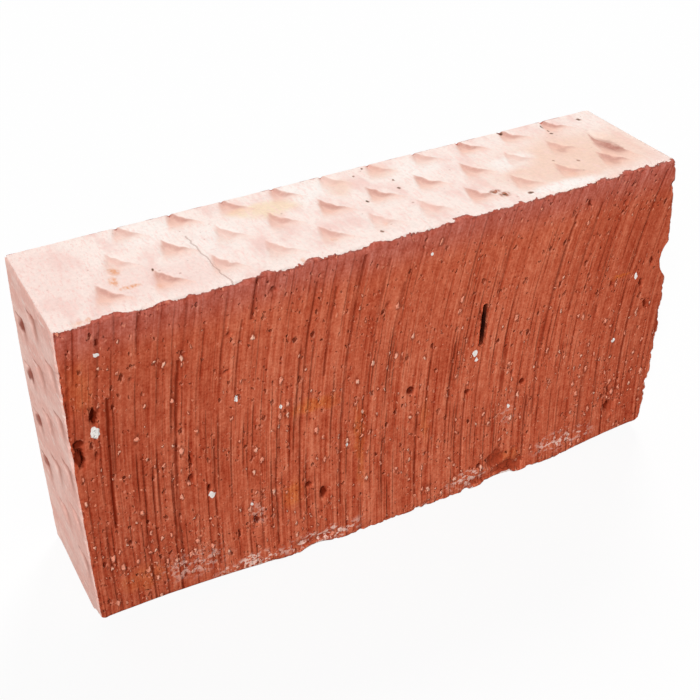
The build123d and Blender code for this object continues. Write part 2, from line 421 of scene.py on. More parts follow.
def reliefTree():
    tree = bpy.data.node_groups.new("wireCutRelief", "GeometryNodeTree")
    tree.interface.new_socket(name="Geometry", in_out="INPUT", socket_type="NodeSocketGeometry")
    tree.interface.new_socket(name="Geometry", in_out="OUTPUT", socket_type="NodeSocketGeometry")
    source = tree.nodes.new("NodeGroupInput").outputs[0]
    position = tree.nodes.new("GeometryNodeInputPosition").outputs[0]
    normal = tree.nodes.new("GeometryNodeInputNormal").outputs[0]
    places = findPlaces(tree, position)
    onBed = step(tree, calc(tree, "ABSOLUTE", split(tree, normal)[1]), *brickMesh["bedFacing"])

    # the clay gave way softly under the spikes, away from the arrises
    offBed = step(tree, places["bedDepth"], *brickMesh["softFromBed"])
    offCorner = step(tree, places["fromCorner"], *brickMesh["softFromCorner"])
    weight = product(tree, opposite(tree, onBed), product(tree, offBed, offCorner))
    soft = moved(tree, source, "Position", blurred(tree, position, brickMesh["softening"], weight))

    strong = strongLines(tree, places, dragPlace(tree, places), scratchLook["cutWiden"])
    hollow = frontSpots(tree, places, hollows, *wobble["hollows"])
    stone = frontSpots(tree, places, stones, *wobble["stones"])
    crumbs = noise(tree, places["point"], *relief["crumbNoise"])
    crumbled = calc(tree, "MULTIPLY_ADD", crumbs, *relief["crumbled"])
    broken = product(tree, frontSpots(tree, places, breaks, *wobble["breaks"]), crumbled)
    wave = pattern(tree, places, *relief["waveNoise"])
    lumps = pattern(tree, places, *relief["lumpNoise"])
    low = step(tree, places["down"], *relief["smear"])
    cut = total(
        tree,
        product(tree, wave, relief["bedWave"]),
        product(tree, lumps, low, relief["bedLumps"]),
        product(tree, strong, relief["strongCut"]),
        calc(tree, "MAXIMUM", calc(tree, "SUBTRACT", hollow, stone), 0.0),
        broken,
    )
    offBed = step(tree, places["bedDepth"], *relief["skinFromBed"])
    skin = pattern(tree, places, *relief["skinNoise"])
    skin = product(tree, skin, relief["skinWave"], opposite(tree, onBed), offBed)
    fromArris = calc(tree, "ADD", places["bedDepth"], places["skinDepth"])
    edge = step(tree, fromArris, relief["arrisReach"], 0.0)
    bite = step(tree, noise(tree, places["point"], *relief["biteNoise"]), *relief["bitten"])
    rough = choose(tree, places["front"], relief["backBite"], 1.0)
    bite = product(tree, bite, edge, rough, relief["arrisBite"])

    # the back arrises came out sharper than the front ones
    filled = step(tree, fromArris, relief["sharpReach"], relief["sharpFull"] * relief["sharpReach"])
    fill = product(tree, calc(tree, "MINIMUM", places["bedDepth"], places["skinDepth"]), math.sqrt(2))
    fill = product(tree, fill, opposite(tree, places["front"]), filled)
    inward = calc(tree, "SUBTRACT", total(tree, product(tree, cut, onBed), skin, bite), fill)

    offset = vectorCalc(tree, "SCALE", normal)
    tree.links.new(product(tree, inward, -mm), offset.node.inputs["Scale"])
    worked = moved(tree, soft, "Offset", offset)

    # nothing stands out of the solid's own box
    kept = vectorCalc(tree, "MAXIMUM", position, [v + brickMesh["boxInset"] for v in cadLow])
    kept = vectorCalc(tree, "MINIMUM", kept, [v - brickMesh["boxInset"] for v in cadHigh])
    worked = moved(tree, worked, "Position", kept)
    tree.links.new(worked, tree.nodes.new("NodeGroupOutput").inputs[0])
    return tree


def makeBrick():
    brick = copyNode("brick", "fired_brick")
    remesh = brick.modifiers.new("remesh", "REMESH")
    remesh.mode = "VOXEL"
    remesh.voxel_size = brickMesh["voxel"]
    applyModifier(brick, remesh)
    print("remeshed, faces", len(brick.data.polygons))
    worked = brick.modifiers.new("relief", "NODES")
    worked.node_group = reliefTree()
    applyModifier(brick, worked)
    thin = brick.modifiers.new("thin", "DECIMATE")
    thin.ratio = brickMesh["triangles"] / (2 * len(brick.data.polygons))
    thin.use_collapse_triangulate = True
    applyModifier(brick, thin)
    selectOnly(brick)
    bpy.ops.object.shade_smooth_by_angle(angle=math.radians(brickMesh["smoothAngle"]))
    print("relief worked, triangles", len(brick.data.polygons))
    return brick


# fired clay: red cut body, pale skin from the die

clay = {
    "bodyMiddle": (0.62, 0.131, 0.062, 1),
    "bodyEnds": (0.53, 0.103, 0.048, 1),
    "bodyTop": (0.53, 0.135, 0.098, 1),
    "rustStain": (0.68, 0.15, 0.038, 1),
    # painted shade in the grooves of the drag lines and scratches
    "grooveShade": (0.18, 0.012, 0.002, 1),
    # painted shade in the pits, torn pits and hollows, and the painted shadow round the specks
    "hollow": (0.13, 0.008, 0.001, 1),
    # painted shade inside the torn slot
    "slot": (0.03, 0.006, 0.004, 1),
    "scar": (0.36, 0.052, 0.020, 1),
    "stone": (1.0, 0.95, 0.90, 1),
    # the specks' own colour, also used for the painted highlights on the pits' lips
    "speck": (1.0, 0.36, 0.23, 1),
    "speckCore": (1.0, 0.56, 0.41, 1),
    "dust": (1.0, 0.34, 0.20, 1),
    # painted shadow line under the skin's edge
    "edgeShadow": (0.34, 0.13, 0.105, 1),
    "scum": (1.0, 0.66, 0.55, 1),
    "topSkin": (0.98, 0.835, 0.77, 1),
    "topWhite": (0.99, 0.92, 0.87, 1),
    "topPink": (0.92, 0.66, 0.60, 1),
    "topPeach": (0.92, 0.64, 0.51, 1),
    "topYellow": (0.95, 0.74, 0.53, 1),
    # the dents' walls and ramps on the top: partly the body's own colour, partly painted shade
    "topWallShade": (0.58, 0.30, 0.25, 1),
    "topRampShade": (0.94, 0.57, 0.45, 1),
    "topFleck": (0.92, 0.61, 0.55, 1),
    "endSkin": (0.92, 0.53, 0.45, 1),
    "endPale": (0.97, 0.64, 0.56, 1),
    # painted shade on the end dents' walls and ramps, also used in the scuffs on the top
    "endWallShade": (0.42, 0.16, 0.12, 1),
    "endRampShade": (0.62, 0.31, 0.25, 1),
    "endChip": (1.0, 0.80, 0.73, 1),
    "endTear": (0.26, 0.055, 0.033, 1),
    "crack": (0.56, 0.33, 0.27, 1),
    "rust": (0.40, 0.10, 0.035, 1),
    "rustPale": (0.84, 0.40, 0.23, 1),
    "black": (0.09, 0.045, 0.025, 1),
    "blackRim": (0.46, 0.24, 0.17, 1),
    "roughness": 0.9,
    "specular": 0.03,
}
rustStains = [  # on the front bed: x, down, half width, half height, strength
    (86.0, 57.0, 13.0, 4.0, 0.75), (76.0, 92.0, 5.0, 9.0, 0.7), (104.0, 80.0, 2.6, 25.0, 0.55),
    (5.0, 22.0, 6.0, 12.0, 0.3), (222.0, 44.2, 7.0, 0.9, 0.8), (172.0, 112.0, 7.0, 5.0, 0.4),
    (17.0, 106.0, 13.0, 7.0, 0.35), (132.0, 80.0, 3.0, 12.0, 0.35),
]
scumStreaks = [  # low on the front bed, in the same way
    (36.0, 107.0, 18.0, 8.0, 0.5), (86.0, 117.0, 24.0, 5.0, 1.0), (198.0, 113.5, 19.0, 6.0, 0.9),
    (152.0, 116.0, 13.0, 5.0, 0.9), (62.0, 95.0, 5.0, 8.0, 0.4), (58.0, 117.0, 18.0, 5.0, 1.0),
    (170.0, 90.0, 5.0, 8.0, 0.3),
]
endTears = [  # torn skin on the left end: y from the back, down, half width, half height, strength
    (8.0, 23.0, 4.6, 2.5, 1.0), (8.0, 43.0, 4.8, 2.7, 1.0), (8.0, 62.0, 4.2, 2.6, 0.9),
    (7.0, 81.0, 4.2, 2.6, 0.8),
]
blackSpots = [  # on the top: x from the left, y from the back, half width, half height, strength
    (121.3, 26.0, 0.9, 1.2, 0.9), (136.5, 22.5, 0.8, 1.1, 0.8), (38.3, 33.4, 0.7, 1.1, 0.8),
    (196.2, 0.9, 1.7, 1.5, 1.0), (232.6, 6.0, 1.3, 1.6, 0.7), (115.0, 48.0, 0.9, 1.3, 0.6),
    (132.2, 2.0, 0.6, 0.9, 0.7), (126.3, 6.0, 0.6, 1.0, 0.6), (215.0, 4.0, 0.7, 1.8, 0.9),
    (215.2, 8.2, 0.6, 1.4, 0.7), (214.5, 11.5, 0.8, 1.0, 0.9), (176.6, 49.2, 1.4, 1.4, 0.7),
    (138.0, 15.8, 0.6, 1.2, 0.6), (167.3, 46.0, 1.1, 1.2, 0.75), (164.8, 42.2, 0.9, 0.8, 0.6),
    (208.5, 36.5, 1.0, 1.2, 0.4), (200.0, 32.0, 0.7, 0.9, 0.4), (45.0, -2.0, 1.4, 1.2, 0.6),
]
rustSpots = [(165.3, 42.3, 3.4, 2.1, 1.0), (167.6, 45.8, 3.0, 2.8, 1.0)]  # on the top, in the same way
rustFlecks = [  # paler ones
    (27.2, 28.0, 2.4, 4.6, 0.9), (25.0, 34.5, 2.0, 4.4, 0.9), (28.4, 40.0, 4.8, 1.8, 1.0),
    (37.2, 43.5, 1.6, 2.8, 0.35), (98.6, 43.6, 1.6, 2.4, 0.35), (119.6, 42.5, 1.6, 2.6, 0.35),
    (8.0, 53.0, 3.0, 2.2, 0.5), (11.5, 52.5, 1.6, 3.0, 0.5), (83.0, 52.5, 1.4, 2.6, 0.5),
    (200.5, 43.5, 2.4, 3.4, 0.2),
]
scuffsAndShade = [  # torn skin and painted shade in the gouge and the deepest dents
    (228.9, 30.0, 3.2, 11.0, 0.5), (230.2, 34.5, 1.7, 5.5, 0.6), (209.5, 25.0, 2.6, 4.0, 0.35),
    (221.0, 43.0, 2.6, 4.4, 0.3),
]
tints = [  # wide soft patches on the top
    ("topPeach", [
        (208.0, 33.0, 52.0, 30.0, 0.85), (117.0, 11.0, 8.0, 9.0, 0.7), (137.0, 7.0, 8.0, 8.0, 0.6),
    ]),
    ("topYellow", [(90.0, 14.0, 15.0, 9.0, 0.85), (78.5, 11.0, 7.0, 6.5, 0.9)]),
    ("topPink", [
        (4.0, 24.0, 22.0, 40.0, 0.4), (28.0, 38.0, 18.0, 18.0, 0.5), (46.0, 42.0, 20.0, 16.0, 0.5),
    ]),
    ("topWhite", [
        (104.0, 8.0, 14.0, 14.0, 0.9), (64.0, 24.0, 14.0, 14.0, 0.6), (185.0, 24.0, 14.0, 10.0, 0.8),
        (192.0, 50.0, 26.0, 6.0, 1.0), (150.0, 12.0, 20.0, 12.0, 0.6), (46.0, 8.0, 18.0, 12.0, 0.6),
    ]),
]


def mixColour(tree, amount, first, second):
    node = tree.nodes.new("ShaderNodeMix")
    node.data_type = "RGBA"
    wire(tree, amount, node.inputs["Factor"])
    wire(tree, first, node.inputs["A"])
    wire(tree, second, node.inputs["B"])
    return node.outputs["Result"]


def shaded(tree, colour, shade, green=1.0, blue=1.0):
    greenShade = calc(tree, "POWER", shade, green)
    blueShade = calc(tree, "POWER", shade, blue)
    return vectorCalc(tree, "MULTIPLY", colour, vector(tree, shade, greenShade, blueShade))


hairLines = {"cell": 2.2, "half": 0.45, "run": 30.0, "chance": 0.5, "seed": 1.0, "share": 0.7}
coarseLines = {"cell": 4.6, "half": 0.65, "run": 46.0, "chance": 0.55, "seed": 2.0, "share": 0.9}
lineLook = {
    "room": 0.5, "margin": 0.25,  # shares of a cell in which its line may lie
    "pieceSeed": 3.7,
    "start": (0.0, 0.25), "end": (1.0, 0.6),  # tapers of a piece
    "strength": (0.7, 0.3),       # what varies, and what every line has
    "width": (0.7, 0.5),
}


def thinLines(tree, drag, places, kind):
    # one line in each cell across the drag, in pieces of random strength along it
    scaled = calc(tree, "DIVIDE", drag, kind["cell"])
    column = calc(tree, "FLOOR", scaled)
    own = chanceAt(tree, column, calc(tree, "ADD", places["side"], kind["seed"]))
    place, start, weight = split(tree, own["Color"])
    margin = calc(tree, "ADD", column, lineLook["margin"])
    middle = calc(tree, "MULTIPLY_ADD", place, lineLook["room"], margin)
    away = product(tree, calc(tree, "ABSOLUTE", calc(tree, "SUBTRACT", scaled, middle)), kind["cell"])
    pieces = calc(tree, "ADD", calc(tree, "DIVIDE", places["down"], kind["run"]), start)
    pieceColumn = calc(tree, "ADD", column, kind["seed"] * lineLook["pieceSeed"])
    pieceRow = calc(tree, "ADD", calc(tree, "FLOOR", pieces), places["side"])
    shown = calc(tree, "LESS_THAN", chanceAt(tree, pieceColumn, pieceRow)["Value"], kind["chance"])
    along = calc(tree, "FRACT", pieces)
    taper = product(tree, step(tree, along, *lineLook["start"]), step(tree, along, *lineLook["end"]))
    strength = calc(tree, "MULTIPLY_ADD", weight, *lineLook["strength"])
    width = calc(tree, "MULTIPLY_ADD", weight, *[share * kind["half"] for share in lineLook["width"]])
    return product(tree, step(tree, away, width, 0.0), shown, taper, strength)


grainKinds = {  # shift against the others, cells in a mm, share of cells filled, smallest and largest in mm
    "pit": {"shift": (0.0, 0.0, 0.0), "scale": 0.30, "chance": 0.22, "small": 0.25, "large": 1.0},
    "torn": {"shift": (5.3, 8.9, 0.0), "scale": 0.62, "chance": 0.3, "small": 0.16, "large": 0.5},
    "speck": {"shift": (3.1, 1.7, 0.0), "scale": 0.33, "chance": 1.0, "small": 0.36, "large": 0.95},
    "dust": {"shift": (9.1, 4.7, 0.0), "scale": 0.75, "chance": 1.0, "small": 0.16, "large": 0.42},
    "mote": {"shift": (0.0, 0.0, 0.0), "scale": 0.2, "chance": 0.2, "small": 0.2, "large": 0.7},
}
grainCore = 0.3  # share of a grain's radius that is at its full strength
grainRim = 2.0   # how far out its rim reaches, in radii, where specks get a ring of painted shadow


def grains(tree, at, kind, thickness=1.0):
    # scattered grains: one in a share of the cells, each with its own size
    node = tree.nodes.new("ShaderNodeTexVoronoi")
    node.voronoi_dimensions = "2D"
    tree.links.new(vectorCalc(tree, "ADD", at, kind["shift"]), node.inputs["Vector"])
    node.inputs["Scale"].default_value = kind["scale"]
    pick, grow, hue = split(tree, node.outputs["Color"])
    spread = kind["large"] - kind["small"]
    radius = calc(tree, "MULTIPLY_ADD", product(tree, grow, grow), spread, kind["small"])
    reach = product(tree, radius, kind["scale"])
    inside = step(tree, node.outputs["Distance"], reach, product(tree, reach, grainCore))
    around = step(tree, node.outputs["Distance"], product(tree, reach, grainRim), reach)
    shown = calc(tree, "LESS_THAN", pick, product(tree, thickness, kind["chance"]))
    return {"grain": product(tree, inside, shown), "shadowRing": product(tree, around, shown), "hue": hue}


cutLook = {  # a noise is its scale, detail and roughness; a step is from, to, and the strengths there
    "smear": (6.0, 60.0, 0.55, 1.0),     # drag lines come up below the smeared top
    "middle": 125.0,
    "middleReach": (125.0, 50.0),
    "topTint": (16.0, 0.0, 0.0, 0.85),
    "wander": (0.2, 6.0),                # stains and scum: scale and amount
    "fine": (0.95, 2.0, 0.65), "fineAlong": 0.025,
    "wide": (0.22, 2.0), "wideAlong": 0.05,
    "sand": (1.1, 2.0, 0.7),
    "lumps": ((0.4, 0.4, 0.25), 2.0),
    "grooveShadeShare": 0.88,
    "grainAlong": 0.6,                   # grains are drawn out down the bed
    "grainWander": (1.0, 1.7),
    "grainsLow": (10.0, 105.0),          # thicker low down
    "grainShare": (0.34, 0.07),
    "patches": (0.08, 2.0),
    "patchy": (0.35, 0.65, 0.25, 1.2),
    "roughMore": 0.9,
    "highlightShift": (-0.5, -0.3, 0.0),       # painted highlights on lit lips stand beside the pits
    "highlightShare": 0.5,
    "pitShade": (0.6, 0.3),
    "tornShade": 0.6,
    "speckShadow": 0.4,
    "core": (0.4, 1.0), "coreHue": (0.3, 0.9),
    "speckEdge": (0.0, 0.5),
    "dustShare": (0.6, 0.4),
    "chipped": (0.9, 1.8, 0.0, 0.6),
    "broken": (1.0, 2.2, 0.0, 0.75),
    "hollowShaded": (0.3, 1.4, 0.0, 0.85),
    "slotDepth": (0.6, 1.6), "slotShadeShare": 0.95,
    "stoneEdge": (0.1, 0.35),
    "scum": ((0.42, 0.42, 0.55), 2.0, 0.7), "scummed": (0.49, 0.61),
}
cutShade = {"fine": 1.25, "wide": 0.5, "sand": 0.7, "lumps": 0.5, "darkest": 0.4, "green": 2.2, "blue": 2.7}
cutBumps = {  # mm
    "fine": 0.20, "drawn": -0.38, "pit": -0.55, "torn": -0.30,
    "speck": 0.35, "dust": 0.16, "lumps": 0.35, "sand": 0.16,
}


def cutBody(tree, places):
    # the red body of the cut beds: its colour, and its fine relief in mm
    drag = dragPlace(tree, places)
    front = places["front"]
    low = step(tree, places["down"], *cutLook["smear"])
    offMiddle = calc(tree, "ABSOLUTE", calc(tree, "SUBTRACT", places["x"], cutLook["middle"]))
    middle = step(tree, offMiddle, *cutLook["middleReach"])
    body = mixColour(tree, middle, clay["bodyEnds"], clay["bodyMiddle"])
    body = mixColour(tree, step(tree, places["down"], *cutLook["topTint"]), body, clay["bodyTop"])
    frontAt = vector(tree, places["x"], places["down"], 0.0)
    wideAt = warp(tree, frontAt, *cutLook["wander"])
    stain = product(tree, spots(tree, wideAt, rustStains), front)
    body = mixColour(tree, stain, body, clay["rustStain"])
    fineAlong = product(tree, places["down"], cutLook["fineAlong"])
    fine = noise(tree, vector(tree, drag, fineAlong, places["side"]), *cutLook["fine"])
    wideAlong = product(tree, places["down"], cutLook["wideAlong"])
    wide = noise(tree, vector(tree, drag, wideAlong, places["side"]), *cutLook["wide"])
    sand = noise(tree, places["point"], *cutLook["sand"])
    lumps = pattern(tree, places, *cutLook["lumps"])
    shade = total(
        tree, 1.0,
        product(tree, swing(tree, fine, cutShade["fine"]), low),
        swing(tree, wide, cutShade["wide"]),
        swing(tree, sand, cutShade["sand"]),
        swing(tree, lumps, cutShade["lumps"]),
    )
    shade = calc(tree, "MAXIMUM", shade, cutShade["darkest"])
    body = shaded(tree, body, shade, cutShade["green"], cutShade["blue"])  # what is darker is also redder

    # drag lines, with painted shade in their grooves
    hair = product(tree, thinLines(tree, drag, places, hairLines), hairLines["share"])
    coarse = product(tree, thinLines(tree, drag, places, coarseLines), coarseLines["share"])
    drawn = product(tree, calc(tree, "MAXIMUM", hair, coarse), low)
    strong = strongLines(tree, places, drag, scratchLook["colourWiden"])
    grooveShaded = product(tree, calc(tree, "MAXIMUM", drawn, strong), cutLook["grooveShadeShare"])
    body = mixColour(tree, grooveShaded, body, clay["grooveShade"])

    # torn pits and grains, thicker low down; the pits get painted shade and the specks a ring of painted
    # shadow
    grainAlong = product(tree, places["down"], cutLook["grainAlong"])
    dragged = vector(tree, calc(tree, "ADD", drag, places["side"]), grainAlong, 0.0)
    loose = warp(tree, dragged, *cutLook["grainWander"])
    patchy = step(tree, noise(tree, places["point"], *cutLook["patches"]), *cutLook["patchy"])
    rougher = product(tree, spots(tree, frontAt, roughZones), front, cutLook["roughMore"])
    patchy = total(tree, patchy, rougher)
    grainsLow = step(tree, places["down"], *cutLook["grainsLow"])
    thick = product(tree, calc(tree, "MULTIPLY_ADD", grainsLow, *cutLook["grainShare"]), patchy)
    pit = grains(tree, loose, grainKinds["pit"], patchy)
    ripped = grains(tree, loose, grainKinds["torn"], patchy)
    speck = grains(tree, loose, grainKinds["speck"], thick)
    dust = grains(tree, loose, grainKinds["dust"], thick)
    pitShade = product(tree, pit["grain"], calc(tree, "MULTIPLY_ADD", pit["hue"], *cutLook["pitShade"]))
    paintedShade = calc(tree, "MAXIMUM", pitShade, product(tree, ripped["grain"], cutLook["tornShade"]))
    paintedShade = calc(tree, "MAXIMUM", paintedShade, product(tree, speck["shadowRing"], cutLook["speckShadow"]))
    body = mixColour(tree, paintedShade, body, clay["hollow"])

    # each pit has a lit lip, a painted highlight beside it
    highlightAt = vectorCalc(tree, "ADD", loose, cutLook["highlightShift"])
    lipHighlight = 0.0
    for name, hole in (("pit", pit), ("torn", ripped)):
        beside = grains(tree, highlightAt, grainKinds[name], patchy)["grain"]
        lipHighlight = calc(tree, "MAXIMUM", calc(tree, "SUBTRACT", beside, hole["grain"]), lipHighlight)
    body = mixColour(tree, product(tree, lipHighlight, cutLook["highlightShare"]), body, clay["speck"])
    pale = step(tree, speck["hue"], *cutLook["coreHue"])
    core = product(tree, step(tree, speck["grain"], *cutLook["core"]), pale)
    speckColour = mixColour(tree, core, clay["speck"], clay["speckCore"])
    body = mixColour(tree, step(tree, speck["grain"], *cutLook["speckEdge"]), body, speckColour)
    dusted = product(tree, dust["grain"], calc(tree, "MULTIPLY_ADD", dust["hue"], *cutLook["dustShare"]))
    body = mixColour(tree, dusted, body, clay["dust"])

    # painted shade in the torn hollows and the slot, broken arrises are a deeper red, the stones are lime
    # white
    chipped = calc(tree, "MINIMUM", places["bedDepth"], places["skinDepth"])
    broken = frontSpots(tree, places, breaks, *wobble["breaks"])
    hollow = frontSpots(tree, places, hollows, *wobble["hollows"])
    stone = frontSpots(tree, places, stones, *wobble["stones"])
    slotShadeMask = product(tree, spots(tree, frontAt, [slotMark]), front, cutLook["slotShadeShare"])
    slotShadeMask = product(tree, step(tree, places["bedDepth"], *cutLook["slotDepth"]), slotShadeMask)
    layers = (
        (step(tree, chipped, *cutLook["chipped"]), "scar"),
        (step(tree, broken, *cutLook["broken"]), "scar"),
        (step(tree, hollow, *cutLook["hollowShaded"]), "hollow"),
        (slotShadeMask, "slot"),
        (step(tree, stone, *cutLook["stoneEdge"]), "stone"),
    )
    for amount, name in layers:
        body = mixColour(tree, amount, body, clay[name])

    # scum low down
    scummed = step(tree, pattern(tree, places, *cutLook["scum"]), *cutLook["scummed"])
    scum = product(tree, spots(tree, wideAt, scumStreaks), front, scummed)
    body = mixColour(tree, scum, body, clay["scum"])
    heights = {
        "fine": product(tree, fine, low), "drawn": drawn, "pit": pit["grain"], "torn": ripped["grain"],
        "speck": speck["grain"], "dust": dust["grain"], "lumps": lumps, "sand": sand,
    }
    height = total(tree, *[product(tree, heights[name], amount) for name, amount in cutBumps.items()])
    return body, height


dents = {  # the roller's pattern, in mm
    "pitch": 19.6, "rowPitch": 18.0, "rowShift": 8.75, "rows": 3, "margin": 9.0,
    "sidePlace": 38.5, "sideRow": -2.5, "endPlace": 44.0, "endRow": 2.2, "endTurn": math.radians(21),
    "run": 5.9, "reach": 9.8, "bow": 0.3, "side": 3.8, "sideReach": 12.0, "crest": 3.4, "endCrest": 9.0,
    "before": 10.5,  # how far before its tip a dent's own strip starts
}
gouge = {
    "fromEnd": 15.8, "fromBack": 18.0, "row": 1,
    "run": 3.6, "reach": 19.0, "side": 4.4, "sideReach": 13.0, "crest": 8.0,
    "instead": 6.0,   # a dent whose tip is this near is left out
    "strength": 1.15,
}
dentLook = {  # how a dent's painted wall and ramp shade come and go, in mm, or as shares of its own lengths
    "wallSide": (-0.4, 0.3),
    "rampSide": (-0.6, 1.4),
    "crestFull": 0.5,
    "crestEnd": (1.25, 0.8),
    "tipReach": 1.1, "tipFull": 0.5, "tipStrength": 0.8,
    "rampEnd": (1.75, 0.8),
    "shake": 1.6, "shakeNoise": (0.3, 1.0),
    "strength": (0.65, 0.42),  # what varies, and what every dent has
    "topSeed": 20.0, "endSeed": 40.0,
}


def dentShadeMarks(tree, x, away, shape, wallWidth):
    # painted shade on the steep wall and the ramp of one dent, from its tip
    run, reach = shape["run"], shape["reach"]
    side, sideReach = shape["side"], shape["sideReach"]
    length = math.hypot(run, reach)
    sideLength = math.hypot(side, sideReach)
    along = total(tree, product(tree, x, run / length), product(tree, away, reach / length))
    inward = calc(tree, "SUBTRACT", product(tree, away, run / length), product(tree, x, reach / length))
    offMiddle = calc(tree, "MULTIPLY_ADD", along, 2 / length, -1.0)
    bow = product(tree, opposite(tree, product(tree, offMiddle, offMiddle)), dents["bow"])
    inward = calc(tree, "SUBTRACT", inward, bow)
    fromSide = total(tree, product(tree, x, sideReach / sideLength), product(tree, away, side / sideLength))
    inside = step(tree, inward, *dentLook["wallSide"])
    inside = product(tree, inside, step(tree, fromSide, *dentLook["rampSide"]))
    crestEnd = step(tree, along, *[length * share for share in dentLook["crestEnd"]])
    crest = product(tree, step(tree, inward, wallWidth, dentLook["crestFull"]), crestEnd)
    tip = step(tree, away, reach * dentLook["tipReach"], dentLook["tipFull"], 0.0, dentLook["tipStrength"])
    wall = product(tree, inside, calc(tree, "MAXIMUM", crest, tip))
    ramp = product(tree, inside, step(tree, away, *[reach * share for share in dentLook["rampEnd"]]))
    return wall, ramp


def dentShade(tree, places):
    # all the dents of the die skin: how much painted shade their steep wall and ramp take at a point
    shaken = swing(tree, noise(tree, places["point"], *dentLook["shakeNoise"]), dentLook["shake"])
    along = calc(tree, "ADD", places["along"], shaken)
    onEnd = places["onEnd"]
    run = choose(tree, onEnd, size["length"], size["height"])
    firstPlace = choose(tree, onEnd, dents["sidePlace"], dents["endPlace"])
    firstRow = choose(tree, onEnd, dents["sideRow"], dents["endRow"])
    turnCos = choose(tree, onEnd, 1.0, math.cos(dents["endTurn"]))
    turnSin = product(tree, onEnd, math.sin(dents["endTurn"]))
    wallWidth = choose(tree, onEnd, dents["crest"], dents["endCrest"])
    onTop = product(tree, places["onTop"], opposite(tree, onEnd))
    gougeTip = size["length"] - gouge["fromEnd"]
    walls, ramps = 0.0, 0.0
    for row in range(dents["rows"]):
        start = calc(tree, "SUBTRACT", along, calc(tree, "SUBTRACT", firstPlace, row * dents["rowShift"]))
        fromStrip = calc(tree, "ADD", start, dents["before"])
        cell = calc(tree, "FLOOR", calc(tree, "DIVIDE", fromStrip, dents["pitch"]))
        x = calc(tree, "SUBTRACT", start, product(tree, cell, dents["pitch"]))
        away = calc(tree, "SUBTRACT", places["y"], calc(tree, "ADD", firstRow, row * dents["rowPitch"]))
        turnedX = total(tree, product(tree, x, turnCos), product(tree, away, turnSin))
        turnedAway = calc(tree, "SUBTRACT", product(tree, away, turnCos), product(tree, x, turnSin))
        wall, ramp = dentShadeMarks(tree, turnedX, turnedAway, dents, wallWidth)
        tip = calc(tree, "SUBTRACT", along, x)
        present = product(
            tree,
            calc(tree, "GREATER_THAN", cell, -0.5),
            calc(tree, "LESS_THAN", tip, calc(tree, "SUBTRACT", run, dents["margin"])),
        )
        topSeed = product(tree, places["onTop"], dentLook["topSeed"])
        seed = total(tree, topSeed, product(tree, onEnd, dentLook["endSeed"]), row)
        chance = chanceAt(tree, cell, seed)["Value"]
        strength = product(tree, calc(tree, "MULTIPLY_ADD", chance, *dentLook["strength"]), present)
        if row == gouge["row"]:
            slipped = product(tree, onTop, calc(tree, "COMPARE", tip, gougeTip, gouge["instead"]))
            strength = product(tree, strength, opposite(tree, slipped))
        walls = calc(tree, "MAXIMUM", walls, product(tree, wall, strength))
        ramps = calc(tree, "MAXIMUM", ramps, product(tree, ramp, strength))
    slipX = calc(tree, "SUBTRACT", along, gougeTip)
    slipAway = calc(tree, "SUBTRACT", places["y"], gouge["fromBack"])
    wall, ramp = dentShadeMarks(tree, slipX, slipAway, gouge, gouge["crest"])
    walls = calc(tree, "MAXIMUM", walls, product(tree, wall, onTop, gouge["strength"]))
    ramps = calc(tree, "MAXIMUM", ramps, product(tree, ramp, onTop))
    return calc(tree, "MINIMUM", walls, 1.0), calc(tree, "MINIMUM", ramps, 1.0)


skinLook = {  # noises and steps in the same way
    "mottle": ((0.12, 0.05, 0.12), 3.0, 0.6),
    "streak": ((0.75, 0.16, 0.75), 3.0, 0.6),
    "scratch": ((1.2, 0.4, 1.2), 2.0, 0.65),
    "fleck": (0.7, 2.0, 0.7),
    "topMottled": (0.45, 0.7),
    "topStreaked": (0.5, 0.72, 0.0, 0.6),
    "topScratched": (0.52, 0.7),
    "toLeft": (60.0, 5.0, 0.4, 0.75),    # more scratches towards the left end
    "endMottled": (0.4, 0.65),
    "endStreaked": (0.56, 0.72, 0.0, 0.7),
    "tintWander": (0.08, 10.0),
    "shadeGaps": (0.25, 0.6, 0.55, 1.0),
    "rampShare": 0.8,
    "wallShare": 0.85,
    "tearWander": (0.5, 2.0),
    "tearShare": 0.85,
    "markWander": (0.6, 1.2),
    "rusted": (0.40, 0.54, 0.35, 1.0),
    "moteShare": (0.6, 0.15),
    "blackRim": (0.0, 0.4, 0.0, 0.8),
    "blackCore": (0.3, 0.85, 0.0, 0.95),
    "topShade": 0.2,
    "endShade": 0.4,
    "streakShade": 0.12,
}
skinBumps = {"fleck": 0.18, "streak": 0.16, "scratch": 0.08, "crack": -0.3}  # mm
hairCrack = {  # across the top, by y from the back
    "backX": 53.4, "slope": 0.05, "bend": 2.4, "bendNoise": (0.18, 2.0),
    "width": (0.36, 0.1),
    "middle": 37.0, "halfLength": 19.5,
    "share": 0.5,
}


def crackMark(tree, places):
    bent = noise(tree, vector(tree, 0.0, places["y"], 0.0), *hairCrack["bendNoise"])
    straight = calc(tree, "MULTIPLY_ADD", places["y"], hairCrack["slope"], hairCrack["backX"])
    crackX = calc(tree, "MULTIPLY_ADD", bent, hairCrack["bend"], straight)
    away = calc(tree, "ABSOLUTE", calc(tree, "SUBTRACT", places["topX"], crackX))
    along = calc(tree, "COMPARE", places["y"], hairCrack["middle"], hairCrack["halfLength"])
    return product(tree, step(tree, away, *hairCrack["width"]), along)


